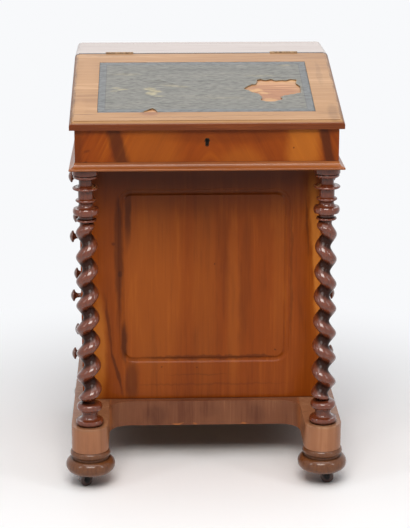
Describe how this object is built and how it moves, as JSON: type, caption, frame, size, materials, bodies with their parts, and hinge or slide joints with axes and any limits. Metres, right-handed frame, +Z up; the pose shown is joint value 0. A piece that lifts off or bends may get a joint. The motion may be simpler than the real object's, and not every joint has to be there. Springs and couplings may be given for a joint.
{
  "type": "davenport desk",
  "caption": "Sloping-top writing box with a leather-lined lid, on a pedestal with side drawers, barley-twist front columns, a sledge plinth, bun feet and castors.",
  "frame": {"origin": "on the floor, at the centre of the bounding box, midway between the front and rear feet", "axes": "+X is the writer's right, where the real drawers open; +Y points away from the writer, from the sloping front to the level back; +Z is up"},
  "size_m": [0.583, 0.545, 0.8556],
  "materials": {
    "polished_walnut": "French polished, semi-gloss",
    "turned_walnut": "French polished, glossy",
    "carcase_wood": "plain, unpolished",
    "writing_leather": "worn, satin",
    "brass": "tarnished",
    "steel": "plain",
    "lock_iron": "dark, plain",
    "castor_iron": "blackened",
    "castor_wheel": "worn, dark"
  },
  "bodies": {
    "desk": {"case_front_panel": "polished_walnut", "case_left_facing": "polished_walnut", "case_right_stiles": "polished_walnut", "dummy_drawer_fronts": "polished_walnut", "box_front": "polished_walnut", "box_left_side": "polished_walnut", "box_right_side": "polished_walnut", "box_moulding": "polished_walnut", "top_slab": "polished_walnut", "plinth_arm_left": "polished_walnut", "plinth_arm_right": "polished_walnut", "plinth_front_rail": "polished_walnut", "drawer_rails": "polished_walnut", "case_back_panel": "polished_walnut", "box_back": "polished_walnut", "plinth_back_rail": "polished_walnut", "column_left": "turned_walnut", "column_right": "turned_walnut", "dummy_drawer_knobs": "turned_walnut", "foot_front_left": "turned_walnut", "foot_front_right": "turned_walnut", "foot_rear_left": "turned_walnut", "foot_rear_right": "turned_walnut", "case_left_panel": "carcase_wood", "case_floor": "carcase_wood", "drawer_runners": "carcase_wood", "box_bottom": "carcase_wood", "stationery_rack": "carcase_wood", "hinge_fixed_leaves": "brass", "keyhole_escutcheon": "brass", "hinge_pins": "steel", "lock_case": "lock_iron", "castor_sockets": "lock_iron"},
    "lid": {"lid_board": "polished_walnut", "lid_leather": "writing_leather", "hinge_moving_leaves": "brass", "lid_lock_plate": "brass"},
    "lock_bolt": {"lock_bolt": "brass"},
    "drawer_1": {"drawer_1_front": "polished_walnut", "drawer_1_tray": "carcase_wood", "drawer_1_knobs": "turned_walnut"},
    "drawer_2": {"drawer_2_front": "polished_walnut", "drawer_2_tray": "carcase_wood", "drawer_2_knobs": "turned_walnut"},
    "drawer_3": {"drawer_3_front": "polished_walnut", "drawer_3_tray": "carcase_wood", "drawer_3_knobs": "turned_walnut"},
    "drawer_4": {"drawer_4_front": "polished_walnut", "drawer_4_tray": "carcase_wood", "drawer_4_knobs": "turned_walnut"},
    "inner_drawer_left": {"inner_drawer_left": "carcase_wood"},
    "inner_drawer_right": {"inner_drawer_right": "carcase_wood"},
    "castor_front_left": {"castor_horn_front_left": "castor_iron"},
    "castor_wheel_front_left": {"castor_wheel_front_left": "castor_wheel"},
    "castor_front_right": {"castor_horn_front_right": "castor_iron"},
    "castor_wheel_front_right": {"castor_wheel_front_right": "castor_wheel"},
    "castor_rear_left": {"castor_horn_rear_left": "castor_iron"},
    "castor_wheel_rear_left": {"castor_wheel_rear_left": "castor_wheel"},
    "castor_rear_right": {"castor_horn_rear_right": "castor_iron"},
    "castor_wheel_rear_right": {"castor_wheel_rear_right": "castor_wheel"}
  },
  "joints": [
    {"name": "lid_hinge", "type": "hinge", "parent": "desk", "child": "lid", "pos_m": [0, 0.09735, 0.853], "axis": [-1, 0, 0], "range_deg": [0, 105]},
    {"name": "lock_bolt_slide", "type": "slide", "parent": "desk", "child": "lock_bolt", "axis": [0, 0, 1], "range_m": [0, 0.007]},
    {"name": "drawer_1_slide", "type": "slide", "parent": "desk", "child": "drawer_1", "axis": [1, 0, 0], "range_m": [0, 0.36]},
    {"name": "drawer_2_slide", "type": "slide", "parent": "desk", "child": "drawer_2", "axis": [1, 0, 0], "range_m": [0, 0.36]},
    {"name": "drawer_3_slide", "type": "slide", "parent": "desk", "child": "drawer_3", "axis": [1, 0, 0], "range_m": [0, 0.36]},
    {"name": "drawer_4_slide", "type": "slide", "parent": "desk", "child": "drawer_4", "axis": [1, 0, 0], "range_m": [0, 0.36]},
    {"name": "inner_drawer_left_slide", "type": "slide", "parent": "desk", "child": "inner_drawer_left", "axis": [0, -1, 0], "range_m": [0, 0.11]},
    {"name": "inner_drawer_right_slide", "type": "slide", "parent": "desk", "child": "inner_drawer_right", "axis": [0, -1, 0], "range_m": [0, 0.11]},
    {"name": "castor_swivel_front_left", "type": "hinge", "parent": "desk", "child": "castor_front_left", "pos_m": [-0.2408, -0.22185, 0.031], "axis": [0, 0, 1], "continuous": true},
    {"name": "castor_roll_front_left", "type": "hinge", "parent": "castor_front_left", "child": "castor_wheel_front_left", "pos_m": [-0.25168, -0.22692, 0.0135], "axis": [0.4226, -0.9063, 0], "continuous": true},
    {"name": "castor_swivel_front_right", "type": "hinge", "parent": "desk", "child": "castor_front_right", "pos_m": [0.2408, -0.22185, 0.031], "axis": [0, 0, 1], "continuous": true},
    {"name": "castor_roll_front_right", "type": "hinge", "parent": "castor_front_right", "child": "castor_wheel_front_right", "pos_m": [0.25262, -0.22393, 0.0135], "axis": [0.1736, 0.9848, 0], "continuous": true},
    {"name": "castor_swivel_rear_left", "type": "hinge", "parent": "desk", "child": "castor_rear_left", "pos_m": [-0.2408, 0.22185, 0.031], "axis": [0, 0, 1], "continuous": true},
    {"name": "castor_roll_rear_left", "type": "hinge", "parent": "castor_rear_left", "child": "castor_wheel_rear_left", "pos_m": [-0.25168, 0.22692, 0.0135], "axis": [-0.4226, -0.9063, 0], "continuous": true},
    {"name": "castor_swivel_rear_right", "type": "hinge", "parent": "desk", "child": "castor_rear_right", "pos_m": [0.2408, 0.22185, 0.031], "axis": [0, 0, 1], "continuous": true},
    {"name": "castor_roll_rear_right", "type": "hinge", "parent": "castor_rear_right", "child": "castor_wheel_rear_right", "pos_m": [0.25208, 0.22595, 0.0135], "axis": [-0.342, 0.9397, 0], "continuous": true}
  ]
}
